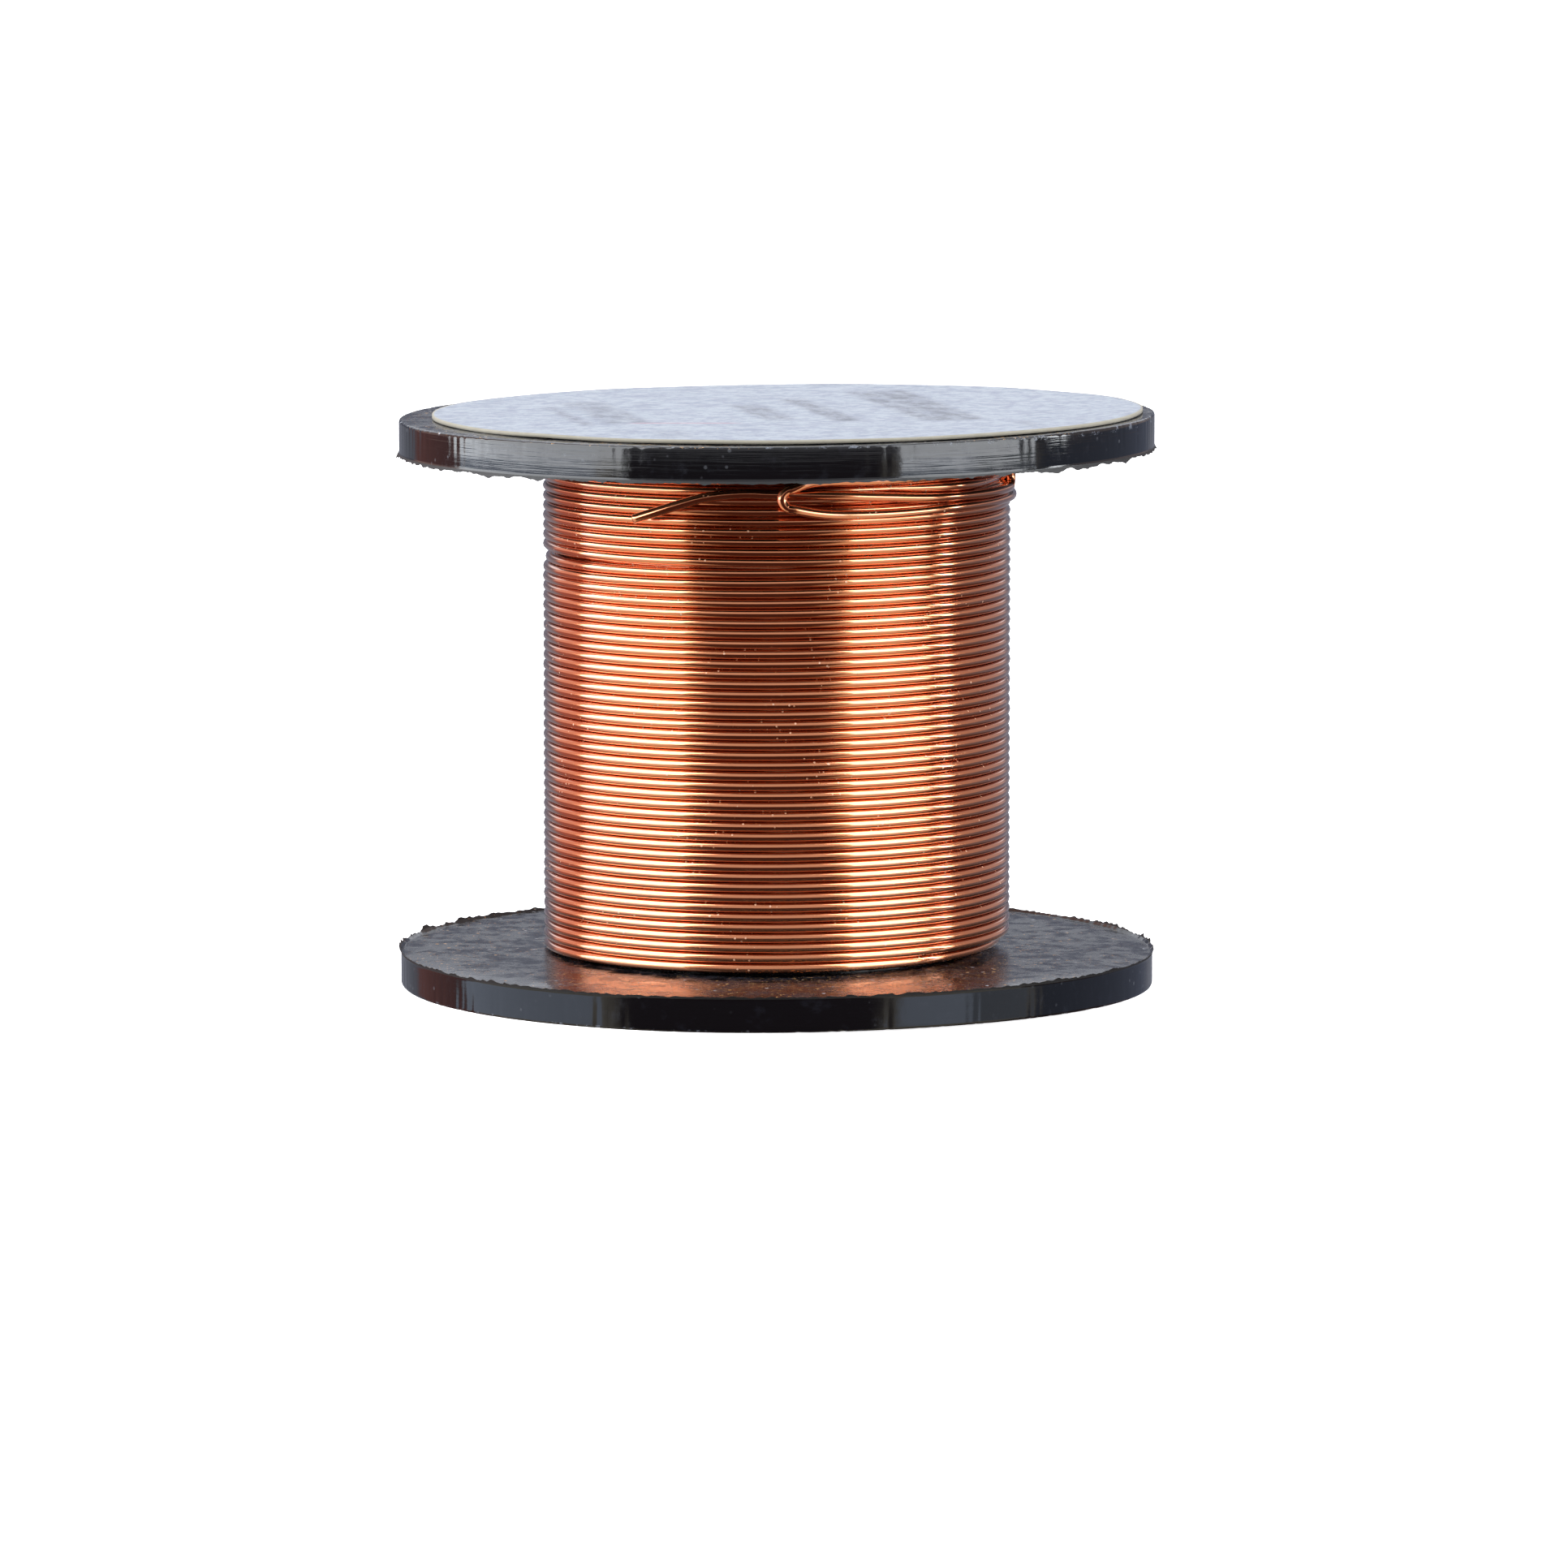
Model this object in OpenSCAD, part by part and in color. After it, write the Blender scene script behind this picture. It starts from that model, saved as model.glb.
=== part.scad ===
// A small flanged reel of enamelled copper wire, standing on its lower flange.
// The reel is three pieces pressed together: two flanges and a barrel tube. The wire is wound on the
// barrel in close layers, and its end is folded back on itself under the upper flange and locked.
// Millimetres. The origin is on the spindle axis at the underside of the lower flange, and +Z is up.
// The wire's free end is at the front, which faces -Y.

/* [Flanges] */
// Diameter of both flanges
flange_d = 40; // [34:0.5:60]
// Thickness of each flange
flange_t = 1.85; // [1.2:0.05:3]
// Chamfer around both edges of a flange's rim
rim_chamfer = 0.15; // [0.05:0.05:0.4]

/* [Barrel and spindle hole] */
// Outside diameter of the barrel, which the first layer of wire lies on
barrel_d = 21; // [18:0.5:26]
// Wall of the barrel
barrel_wall = 1.4; // [0.8:0.1:1.6]
// Diameter of the spindle hole through both flanges
bore_d = 10; // [6:0.1:11]
// Wall of the sleeve around the spindle hole
sleeve_wall = 1.2; // [0.8:0.1:1.3]
// Wall of the ring on each flange that plugs the barrel
spigot_wall = 1.2; // [0.8:0.1:1.3]
// How far the sleeve and the ring stand into the barrel
spigot_depth = 5; // [2:0.5:8]

/* [Wire] */
// Diameter of the wire over its enamel
wire_d = 0.53; // [0.4:0.01:0.66]
// Turns side by side in one layer
turns = 50; // [40:1:56]
// Layers of wire, each nested in the grooves of the one below
layers = 4; // [4:1:4]
// Clearance under wire that lies on the finished layers
lay_gap = 0.05; // [0.04:0.01:0.08]

/* [Label] */
// Diameter of the round paper label
label_d = 37.6; // [30:0.2:38]
// Thickness of the label
label_t = 0.2; // [0.1:0.05:0.3]
// How far to the right the label is stuck off centre
label_offset = 0.56; // [0:0.02:0.6]

/* [Wire end] */
// Angle round from the front, towards the left, at which the free wire bends up from the winding
bend_angle = 3; // [3:0.5:6]
// Length of the wire cut away at the bend on each side, which leaves it room to turn
bend_gap = 0.2; // [0.15:0.05:0.3]

/* [Hidden] */

$fn = 128;
plastic_colour = "#1d1e24";
paper_colour = "#d3dae6";
copper_colour = "#b9683c";

flange_r = flange_d / 2;
barrel_r = barrel_d / 2;
bore_r = bore_d / 2;
traverse = turns * wire_d;              // clear height between the flanges
upper_z = flange_t + traverse;          // inner face of the upper flange
reel_h = upper_z + flange_t;

// Each nested layer adds the height of a row of touching circles, and the last adds a whole wire.
nest_step = wire_d * sqrt(3) / 2;
winding_r = barrel_r + (layers - 1) * nest_step + wire_d;
function layer_r(n) = n == layers ? winding_r : barrel_r + n * nest_step;

// ---- The flanges and the barrel ----

// Half section of a flange that lies on z = 0 with its ring and sleeve standing up
module flange_section() {
    c = rim_chamfer;
    spigot_r = barrel_r - barrel_wall;
    top = flange_t + spigot_depth;
    polygon([[bore_r, 0], [flange_r - c, 0], [flange_r, c], [flange_r, flange_t - c],
             [flange_r - c, flange_t], [spigot_r, flange_t], [spigot_r, top],
             [spigot_r - spigot_wall, top], [spigot_r - spigot_wall, flange_t],
             [bore_r + sleeve_wall, flange_t], [bore_r + sleeve_wall, top], [bore_r, top]]);
}

module flange() {
    rotate_extrude() flange_section();
}

module lower_flange() {
    color(plastic_colour) flange();
}

module upper_flange() {
    color(plastic_colour) translate([0, 0, reel_h]) mirror([0, 0, 1]) flange();
}

// A plain round tube that stands on z
module tube(z, h, outer_r, inner_r) {
    translate([0, 0, z])
        difference() {
            cylinder(h = h, r = outer_r);
            translate([0, 0, -1]) cylinder(h = h + 2, r = inner_r);
        }
}

module barrel() {
    color(plastic_colour) tube(flange_t, traverse, barrel_r, barrel_r - barrel_wall);
}

// ---- The label ----

module paper_label() {
    color(paper_colour)
        translate([label_offset, 0, reel_h]) cylinder(h = label_t, d = label_d);
}

// ---- The close layers of wire, each as one sleeve ----

module wire_layer(n) {
    color(copper_colour) tube(flange_t, traverse, layer_r(n), layer_r(n - 1));
}

// ---- Wire that lies on top of the layers ----

// Places on the winding are [angle, depth, level]: degrees round from the front towards +X, wire
// diameters below the upper flange, and how many wires deep it lies on the finished layers.
lie_r = winding_r + wire_d / 2 + lay_gap;
function place(p) = let (r = lie_r + p[2] * (wire_d + lay_gap))
    [r * sin(p[0]), -r * cos(p[0]), upper_z - p[1] * wire_d];

// Depths of the four runs that pass round the right-hand side, from the flange down
row_a = 1.15;
row_b = 2.2;
row_c = 3.25;
row_d = 4.3;

// Half the width of a U-bend, in wire diameters and in degrees of the winding
u_half = (row_c - row_a) / 2;
u_half_deg = u_half * wire_d / lie_r * 180 / PI;

// A U-bend whose belly is at a given angle: side 1 turns on the far side of it, side -1 on the near
// side. It goes from depth_from to depth_to at one level.
function u_bend(angle, depth_from, depth_to, side, level) =
    [for (t = [-90:30:90])
        [angle + side * u_half_deg * (cos(t) - 1),
         (depth_from + depth_to) / 2 + (depth_to - depth_from) / 2 * sin(t),
         level]];

// A plain run round the winding at one depth, from one angle to another
function run(from, to, depth) =
    [for (a = [from:sign(to - from) * run_step:to]) [a, depth, 0]];
run_step = 10;

back_turn = 186;        // where the first fold goes back, behind the reel
right_turn = 80;        // where the second fold goes back, over the first
front_turn = 1.3;       // the belly of the bight that locks the wire's end

tie_off_route = concat(
    run(32, 172, row_b),
    u_bend(back_turn, row_b, row_d, 1, 0),
    run(172, 52, row_d),
    [[43, 4.35, 0], [34, 4.45, 0], [25, 4.5, 0], [15, 4.45, 0], [9, 4.2, 0.45]],
    u_bend(front_turn, 3.75, 1.75, -1, 1),
    [[6.5, 1.3, 0.9], [10, 1.15, 0.3], [16, 1.15, 0], [25, 1.2, 0]],
    run(35, 65, row_a),
    u_bend(right_turn, row_a, row_c, 1, 1),
    run(65, 50, row_c),
    [[39, 3.15, 0], [25, 2.8, 0], [12, 2.5, 0], [4, 2.4, 0], [end_angle(1), 2.38, 0]]);

// The cut end springs off the winding and droops.
tail_route = [[end_angle(-1), 2.35, 0], [-6, 2.3, 0.05], [-9.5, 2.35, 0.15], [-13.5, 2.5, 0.3],
              [-18, 2.85, 0.5], [-23, 3.5, 0.75], [-29, 4.4, 1.05], [-34, 5.15, 1.3]];

// Where the wire stops short of the bend, on its fixed side (1) or its free side (-1)
function end_angle(side) = -bend_angle + side * bend_gap / lie_r * 180 / PI;

// A smooth curve through hand-chosen places
smooth_steps = 2;
function catmull(a, b, c, d, t) =
    0.5 * (2 * b + (c - a) * t + (2 * a - 5 * b + 4 * c - d) * t * t
           + (3 * b - a - 3 * c + d) * t * t * t);
function smooth(p) = let (last = len(p) - 1)
    concat([for (i = [0:last - 1], s = [0:smooth_steps - 1])
               catmull(p[max(i - 1, 0)], p[i], p[i + 1], p[min(i + 2, last)], s / smooth_steps)],
           [p[last]]);

// A round wire along a route on the winding, each ring square to the way it runs
wire_sides = 8;
function unit(v) = v / norm(v);
module wire(route) {
    p = [for (q = smooth(route)) place(q)];
    last = len(p) - 1;
    points = [for (i = [0:last])
        let (along = unit(p[min(i + 1, last)] - p[max(i - 1, 0)]),
             out = unit([p[i][0], p[i][1], 0]),
             across = unit(cross(along, out)),
             up = cross(across, along))
        for (k = [0:wire_sides - 1])
            let (t = 360 * k / wire_sides)
            p[i] + wire_d / 2 * (cos(t) * up + sin(t) * across)];
    sides = [for (i = [0:last - 1], k = [0:wire_sides - 1])
        let (n = (k + 1) % wire_sides, a = i * wire_sides, b = (i + 1) * wire_sides)
        [a + k, a + n, b + n, b + k]];
    first_cap = [for (k = [wire_sides - 1:-1:0]) k];
    last_cap = [for (k = [0:wire_sides - 1]) last * wire_sides + k];
    polyhedron(points, concat(sides, [first_cap], [last_cap]));
}

module tie_off_wire() {
    color(copper_colour) wire(tie_off_route);
}

module wire_tail() {
    color(copper_colour) wire(tail_route);
}

lower_flange();
upper_flange();
barrel();
paper_label();
wire_layer(1);  // wire_layer_1
wire_layer(2);  // wire_layer_2
wire_layer(3);  // wire_layer_3
wire_layer(4);  // wire_layer_4
tie_off_wire();
wire_tail();
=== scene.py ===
# %% [markdown]
# # A small reel of enamelled copper wire
#
# The object is a black plastic reel, 40 mm across, wound with half-millimetre copper wire. Its CAD model
# is the frame: it fixes where everything is and how big it is. This script only makes it look real.
# Lengths are in metres, +Z is up, and the front of the reel faces -Y.

# %% Load the frame
import math

import bpy
import numpy as np
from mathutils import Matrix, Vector, noise


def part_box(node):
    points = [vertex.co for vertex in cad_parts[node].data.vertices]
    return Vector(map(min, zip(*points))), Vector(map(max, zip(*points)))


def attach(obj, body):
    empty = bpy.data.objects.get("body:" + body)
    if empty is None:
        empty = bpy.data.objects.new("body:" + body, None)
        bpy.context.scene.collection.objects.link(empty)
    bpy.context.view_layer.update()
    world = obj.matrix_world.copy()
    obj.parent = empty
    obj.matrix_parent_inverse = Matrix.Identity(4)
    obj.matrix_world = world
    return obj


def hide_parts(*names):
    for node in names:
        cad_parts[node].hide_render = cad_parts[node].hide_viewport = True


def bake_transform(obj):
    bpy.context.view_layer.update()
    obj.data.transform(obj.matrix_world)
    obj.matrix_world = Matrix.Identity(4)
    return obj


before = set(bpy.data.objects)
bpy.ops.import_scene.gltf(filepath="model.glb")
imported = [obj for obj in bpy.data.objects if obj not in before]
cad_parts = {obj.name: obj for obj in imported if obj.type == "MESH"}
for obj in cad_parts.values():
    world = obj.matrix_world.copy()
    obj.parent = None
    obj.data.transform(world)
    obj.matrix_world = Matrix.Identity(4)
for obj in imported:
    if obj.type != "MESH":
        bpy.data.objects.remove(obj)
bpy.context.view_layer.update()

# %% [markdown]
# ## Sizes
#
# Nearly every size comes from a CAD node's box, so the pieces fit the frame by themselves. The wire is
# measured as you would with a ruler and a real coil: the winding's height divided by its turns gives the
# wire's diameter. Each layer nests in the grooves of the one below, which sets how far out it lies.

# %% Sizes from the frame
MM = 0.001
TURNS = 50

FLANGE_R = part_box("lower_flange")[1].x
RING_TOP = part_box("lower_flange")[1].z
BARREL_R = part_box("barrel")[1].x
winding_low, winding_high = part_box("wire_layer_4")
WINDING_R = winding_high.x
FLOOR_OF_WINDING = winding_low.z
TOP_OF_WINDING = winding_high.z
FLANGE_T = FLOOR_OF_WINDING
LABEL_LOW, LABEL_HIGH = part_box("paper_label")
REEL_TOP = LABEL_LOW.z

WIRE_D = (TOP_OF_WINDING - FLOOR_OF_WINDING) / TURNS
NEST_STEP = WIRE_D * math.sqrt(3) / 2
# A drawn wire's radius in wire diameters: just under a half, so that neighbouring turns don't merge
DRAWN_RADIUS = 0.492

# Sizes inside the reel, which no box shows
BORE_R = 5.0 * MM
BARREL_WALL = 1.4 * MM
RING_WALL = 1.2 * MM
print("wire diameter, mm:", round(WIRE_D / MM, 3), " winding radius, mm:", round(WINDING_R / MM, 3))

# %% [markdown]
# ## The camera
#
# A long lens from half a metre away, a little above the reel, so the two flanges show as thin ellipses
# and the upright edges stay nearly parallel. The camera is made first because everything else is judged
# through it.

# %% Camera
CAMERA_PLACE = Vector((0.384, -513.2, 71.1)) * MM
CAMERA_PITCH = 6.73
LENS_MM = 223.1

camera_data = bpy.data.cameras.new("camera")
camera_data.lens = LENS_MM
camera_data.sensor_width = 36.0
camera_data.clip_start = 0.01
camera = bpy.data.objects.new("camera", camera_data)
bpy.context.collection.objects.link(camera)
camera.location = CAMERA_PLACE
camera.rotation_euler = (math.radians(90 - CAMERA_PITCH), 0, 0)
bpy.context.scene.camera = camera
print("camera distance, mm:", round(CAMERA_PLACE.length / MM, 1))

# %% [markdown]
# ## Node trees written as sums
#
# Shader and geometry nodes do arithmetic one node at a time, which is hard to read as a list of links.
# The first of these two small classes wraps a socket, so that `a * 2 + b` adds the Math nodes for us. The
# second adds any other node, given its type, its settings and what goes into its sockets.

# %% A graph that reads like arithmetic
class Value:
    """One output of a node tree, on which sums can be written."""

    def __init__(self, graph, socket):
        self.graph = graph
        self.socket = socket

    def math(self, operation, *others):
        inputs = dict(enumerate((self,) + others))
        return self.graph.add("ShaderNodeMath", {"operation": operation}, inputs)

    def other(self, name):
        """Another output of the same node."""
        return Value(self.graph, self.socket.node.outputs[name])

    def __add__(self, b):
        return self.math("ADD", b)

    def __sub__(self, b):
        return self.math("SUBTRACT", b)

    def __mul__(self, b):
        return self.math("MULTIPLY", b)

    def __truediv__(self, b):
        return self.math("DIVIDE", b)

    def __rsub__(self, b):
        return self.math("MULTIPLY", -1.0).math("ADD", b)

    __radd__ = __add__
    __rmul__ = __mul__

    def above(self, edge, softness):
        """0 below the edge and 1 above it, with a soft step between."""
        return self.graph.add("ShaderNodeMapRange", {"interpolation_type": "SMOOTHSTEP"},
                              {0: self, 1: edge - softness, 2: edge + softness})

    def between(self, start, end, softness):
        return self.above(start, softness) * (1 - self.above(end, softness))

    def bell(self, middle, narrowness):
        """1 at the middle, falling smoothly to 0 on both sides."""
        away = (self - middle) * narrowness
        return (away * away * -1.0).math("EXPONENT")


class Graph:
    """A node tree, with one way to add any node."""

    def __init__(self, tree):
        self.tree = tree

    def add(self, kind, settings=None, sockets=None, out=0):
        """A node of any kind. Its settings come first, then numbers or links for its sockets."""
        node = self.tree.nodes.new(kind)
        for name, value in (settings or {}).items():
            setattr(node, name, value)
        for name, value in (sockets or {}).items():
            if isinstance(value, Value):
                self.tree.links.new(value.socket, node.inputs[name])
            else:
                node.inputs[name].default_value = value
        return Value(self, node.outputs[out]) if node.outputs else node

    def noise(self, place, scale, detail=2.0, roughness=0.5):
        return self.add("ShaderNodeTexNoise", None,
                        {"Vector": place, "Scale": scale, "Detail": detail, "Roughness": roughness})

    def mix(self, factor, a, b):
        """Two colours mixed."""
        return self.add("ShaderNodeMix", {"data_type": "RGBA"}, {0: factor, 6: a, 7: b}, out=2)

    def stretch(self, place, factors):
        """A place with each direction stretched, for patterns that run one way."""
        return self.add("ShaderNodeVectorMath", {"operation": "MULTIPLY"}, {0: place, 1: factors})


def linear(r, g, b):
    """A colour as the eye reads it, 0 to 255, as the light that a shader wants."""
    def one(c):
        c = c / 255
        return c / 12.92 if c <= 0.04045 else ((c + 0.055) / 1.055) ** 2.4
    return (one(r), one(g), one(b), 1.0)


print("a mid grey as light:", [round(c, 3) for c in linear(128, 128, 128)])

# %% [markdown]
# ## Black moulded plastic
#
# The flanges are glossy black styrene. What makes it read as plastic rather than as a black hole is what
# disturbs the gloss: slow waves in the face from uneven cooling, fine streaks round the rim, pale wear
# where the edges have rubbed, and pale and golden dust lying on the faces that look up. All of it is
# worked out from where a point is and which way it faces, so it stays put from every side.

# %% A start for every material
def new_material(name, **constants):
    """A principled material: its graph, its shader node and the place of each point in metres."""
    material = bpy.data.materials.new(name)
    material.use_nodes = True
    tree = material.node_tree
    tree.nodes.clear()
    graph = Graph(tree)
    shader = tree.nodes.new("ShaderNodeBsdfPrincipled")
    output = tree.nodes.new("ShaderNodeOutputMaterial")
    tree.links.new(shader.outputs[0], output.inputs[0])
    for socket, value in constants.items():
        shader.inputs[socket.replace("_", " ")].default_value = value
    place = graph.add("ShaderNodeTexCoord", out="Object")
    return material, graph, shader, place


def feed(shader, socket, value):
    """Gives a shader's socket a value that changes over the surface."""
    value.graph.tree.links.new(value.socket, shader.inputs[socket])


def bump(graph, height, strength, distance):
    return graph.add("ShaderNodeBump", None,
                     {"Height": height, "Strength": strength, "Distance": distance})


def flecks(graph, place, scale, size, softness, patches):
    """Small round flecks that lie only in patches."""
    distance = graph.add("ShaderNodeTexVoronoi", None, {"Vector": place, "Scale": scale}, out="Distance")
    return (1 - distance.above(size, softness)) * patches


print("a material starts with a graph, a principled shader and each point's place")

# %% The plastic
RIM_DEPTH = 0.12 * MM
RIM_SOFTNESS = 0.05 * MM


def moulded_plastic(name, outer_edge):
    """Black plastic for a flange. outer_edge(z) is 1 where the rim's worn outer edge is."""
    material, graph, shader, place = new_material(name, IOR=1.53)
    x = graph.add("ShaderNodeSeparateXYZ", None, {0: place})
    y, z = x.other("Y"), x.other("Z")
    radius = (x * x + y * y).math("SQRT")
    facing = graph.add("ShaderNodeNewGeometry", out="Normal")
    looks_up = graph.add("ShaderNodeSeparateXYZ", None, {0: facing}, out="Z").above(0.5, 0.2)
    on_rim = radius.above(FLANGE_R - RIM_DEPTH, RIM_SOFTNESS)
    on_face = 1 - on_rim
    fin = radius.above(FLANGE_R + 0.02 * MM, 0.015 * MM)

    waves = graph.noise(place, 260.0, 3.0, 0.6)
    blotch = graph.noise(place, 900.0, 4.0, 0.65)
    grain = graph.noise(place, 2600.0, 4.0, 0.7)
    streak = graph.noise(graph.stretch(place, (90.0, 90.0, 4200.0)), 1.0, 3.0, 0.65)
    scuffs = graph.noise(graph.stretch(place, (700.0, 2600.0, 900.0)), 1.0, 5.0, 0.75)

    patches = graph.noise(place, 420.0, 1.0).above(0.57, 0.05)
    dust = flecks(graph, place, 1500.0, 0.14, 0.06, patches) * (looks_up * 0.8 + 0.12)
    golden = graph.noise(place, 800.0, 1.0).above(0.55, 0.05) * looks_up
    dust_colour = graph.mix(golden, linear(160, 164, 172), linear(190, 146, 88))
    grit = graph.noise(place, 5200.0, 2.0, 0.6).above(0.66, 0.03) * looks_up
    grit = grit * graph.noise(place, 240.0, 1.0).above(0.48, 0.08)

    edge = outer_edge(z) * on_rim
    wear = edge * graph.noise(place, 1500.0, 5.0, 0.8).above(0.60, 0.05)

    base = graph.mix(scuffs.above(0.62, 0.1) * 0.4, linear(11, 12, 15), linear(30, 32, 40))
    base = graph.mix(on_face * blotch.above(0.52, 0.10) * 0.35, base, linear(40, 44, 54))
    base = graph.mix(wear * 0.5, base, linear(120, 126, 138))
    base = graph.mix(dust, base, dust_colour)
    base = graph.mix(grit * 0.7, base, linear(196, 152, 96))
    # The flash is painted a darker black than the rest of the plastic, with no scuffs or dust: painted
    # shade, for the shadow it sits in
    base = graph.mix(fin, base, linear(9, 9, 11))
    feed(shader, "Base Color", base)

    rim_rough = 0.05 + streak * 0.08 + scuffs.above(0.6, 0.1) * 0.10
    face_rough = 0.10 + blotch.above(0.5, 0.12) * 0.20
    gloss = on_rim * rim_rough + on_face * face_rough + wear * 0.3 + dust * 0.4
    feed(shader, "Roughness", gloss + fin * 0.5)
    height = waves * 0.24 + on_face * (blotch * 0.16 + grain * 0.06)
    height = height + on_rim * (streak * 0.11 + scuffs * 0.03)
    feed(shader, "Normal", bump(graph, height, 1.0, 0.1 * MM))
    return material


EDGE_BAND = 0.12 * MM
EDGE_SOFTNESS = 0.04 * MM
lower_plastic = moulded_plastic("black plastic, lower flange",
                                lambda z: 1 - z.above(EDGE_BAND, EDGE_SOFTNESS))
upper_plastic = moulded_plastic("black plastic, upper flange",
                                lambda z: z.above(REEL_TOP - EDGE_BAND, EDGE_SOFTNESS))
print("plastics:", lower_plastic.name, "|", upper_plastic.name)

# %% [markdown]
# ## Copper under clear enamel
#
# Magnet wire wears a thin baked enamel over drawn metal. The metal is a little rough and softens what it
# mirrors, while the enamel on top adds its own thin, sharp, white glint. So the copper gets a slightly
# rough base under a smooth clear coat. Light that bounces between two turns picks up the copper colour
# twice, and that is where the deep red lines come from: real round wires side by side give them for
# nothing.

# %% The copper
def enamelled_copper(name):
    material, graph, shader, place = new_material(name, Coat_Roughness=0.06, Coat_IOR=1.7)
    tone = graph.noise(place, 300.0, 3.0, 0.6)
    drawn = graph.noise(graph.stretch(place, (200.0, 200.0, 7000.0)), 1.0, 3.0, 0.6)
    spots = graph.noise(place, 3400.0, 3.0, 0.7).above(0.72, 0.03)
    patches = graph.noise(place, 350.0, 1.0).above(0.55, 0.06)
    dust = flecks(graph, place, 2400.0, 0.13, 0.05, patches)
    base = graph.mix(tone, linear(220, 134, 84), linear(233, 150, 100))
    base = graph.mix(drawn.above(0.62, 0.12) * 0.25, base, linear(200, 108, 62))
    base = graph.mix(spots * 0.5, base, linear(110, 60, 42))
    base = graph.mix(dust * 0.6, base, linear(226, 196, 170))
    feed(shader, "Base Color", base)
    feed(shader, "Metallic", 1 - dust * 0.6)
    feed(shader, "Roughness", 0.13 + tone * 0.06 + spots * 0.25 + dust * 0.3)
    feed(shader, "Coat Weight", 0.85 + drawn * 0.15)
    feed(shader, "Normal", bump(graph, drawn * 0.5 + tone, 0.2, 0.015 * MM))
    return material


copper = enamelled_copper("enamelled copper")
print("metal:", copper.name)

# %% [markdown]
# ## Paper
#
# The label is thin white paper that has faded a little blue. Its printing is worn to soft grey marks.
# Here the marks are only bars in slanting rows, like a page seen from too far away, with one thin red
# rule: there is nothing on it to read.

# %% The paper
LABEL_MIDDLE = (LABEL_LOW + LABEL_HIGH) / 2
PRINT_TURN = math.radians(11.5)
# Each row of worn print: how far right of the middle it runs, where it starts and ends, how wide and how
# dark it is. All in millimetres on the label.
PRINT_ROWS = [
    (-11.9, -6.5, 5.5, 0.55, 0.9),
    (-9.6, -6.0, 8.5, 2.3, 0.6),
    (-8.6, -15.0, -10.5, 1.4, 0.35),
    (-1.4, -5.5, 4.5, 1.7, 0.75),
    (1.9, -7.0, 8.0, 1.3, 0.85),
    (7.4, -7.5, 12.5, 3.4, 0.8),
    (10.4, -14.0, -9.5, 1.0, 0.4),
]


def label_paper(name):
    material, graph, shader, place = new_material(name, IOR=1.45, Sheen_Weight=0.15)
    centred = graph.add("ShaderNodeMapping", {"vector_type": "TEXTURE"},
                        {"Vector": place, "Location": (LABEL_MIDDLE.x, LABEL_MIDDLE.y, LABEL_MIDDLE.z),
                         "Rotation": (0, 0, PRINT_TURN)})
    x = graph.add("ShaderNodeSeparateXYZ", None, {0: centred})
    y = x.other("Y")
    across, along = x * (1 / MM), y * (1 / MM)
    radius = (x * x + y * y).math("SQRT")

    fibres = graph.noise(place, 1500.0, 6.0, 0.75)
    cloud = graph.noise(place, 140.0, 3.0, 0.6)
    blots = graph.noise(graph.stretch(centred, (1100.0, 420.0, 900.0)), 1.0, 5.0, 0.75)
    stains = graph.noise(place, 620.0, 5.0, 0.75).above(0.56, 0.10)

    ink = None
    for middle, start, end, width, strength in PRINT_ROWS:
        row = across.between(middle - width / 2, middle + width / 2, 0.45)
        row = row * along.between(start, end, 1.0) * strength
        ink = row if ink is None else ink + row
    worn = blots.above(0.52, 0.16)
    faded = ink * (0.25 + worn * 0.75)
    rule = (along + across * 0.2).between(-8.15, -7.65, 0.12) * across.between(-9.5, -4.2, 0.5)

    base = graph.mix(cloud, linear(140, 147, 156), linear(128, 136, 148))
    base = graph.mix(fibres.above(0.52, 0.1) * 0.7, base, linear(97, 106, 124))
    base = graph.mix(stains * 0.55, base, linear(84, 93, 114))
    base = graph.mix(faded, base, linear(38, 44, 62))
    base = graph.mix(rule * 0.5, base, linear(160, 96, 104))
    edge = radius.above(LABEL_HIGH.x - LABEL_MIDDLE.x - 0.09 * MM, 0.04 * MM)
    base = graph.mix(edge * 0.8, base, linear(150, 142, 120))
    feed(shader, "Base Color", base)
    feed(shader, "Roughness", 0.62 + fibres * 0.2)
    feed(shader, "Normal", bump(graph, fibres * 0.5 + cloud, 0.4, 0.03 * MM))
    return material


paper = label_paper("faded label paper")
print("print rows:", len(PRINT_ROWS))

# %% [markdown]
# ## The flanges
#
# Each flange is a turned shape: one outline swept round the axis. A lathe in mesh code suits it, because
# every ring of points can then be nudged by its own angle. That is how the moulding flash is made, the
# thin torn fin that plastic squeezes out where two halves of a mould meet, which here runs along the
# inner edge of each rim. It is also how the disc gets the slight warp that thin mouldings have, and how
# the inner edge of its rim rolls over a little.

# %% Turn an outline
def new_piece(name, mesh, material):
    """An object at the origin, with its place in its mesh."""
    mesh.materials.append(material)
    piece = bpy.data.objects.new(name, mesh)
    bpy.context.collection.objects.link(piece)
    return piece


def fillet(corners, steps=4):
    """An outline through corners of (radius, height, rounding), each corner rounded by that much."""
    outline = []
    count = len(corners)
    for i, (r, z, rounding) in enumerate(corners):
        here = np.array((r, z))
        if rounding == 0:
            outline.append(here)
            continue
        before = np.array(corners[i - 1][:2]) - here
        after = np.array(corners[(i + 1) % count][:2]) - here
        start = here + before / np.linalg.norm(before) * rounding
        end = here + after / np.linalg.norm(after) * rounding
        for s in np.linspace(0, 1, steps + 1):
            outline.append((1 - s) ** 2 * start + 2 * s * (1 - s) * here + s * s * end)
    return np.array(outline)


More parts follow.
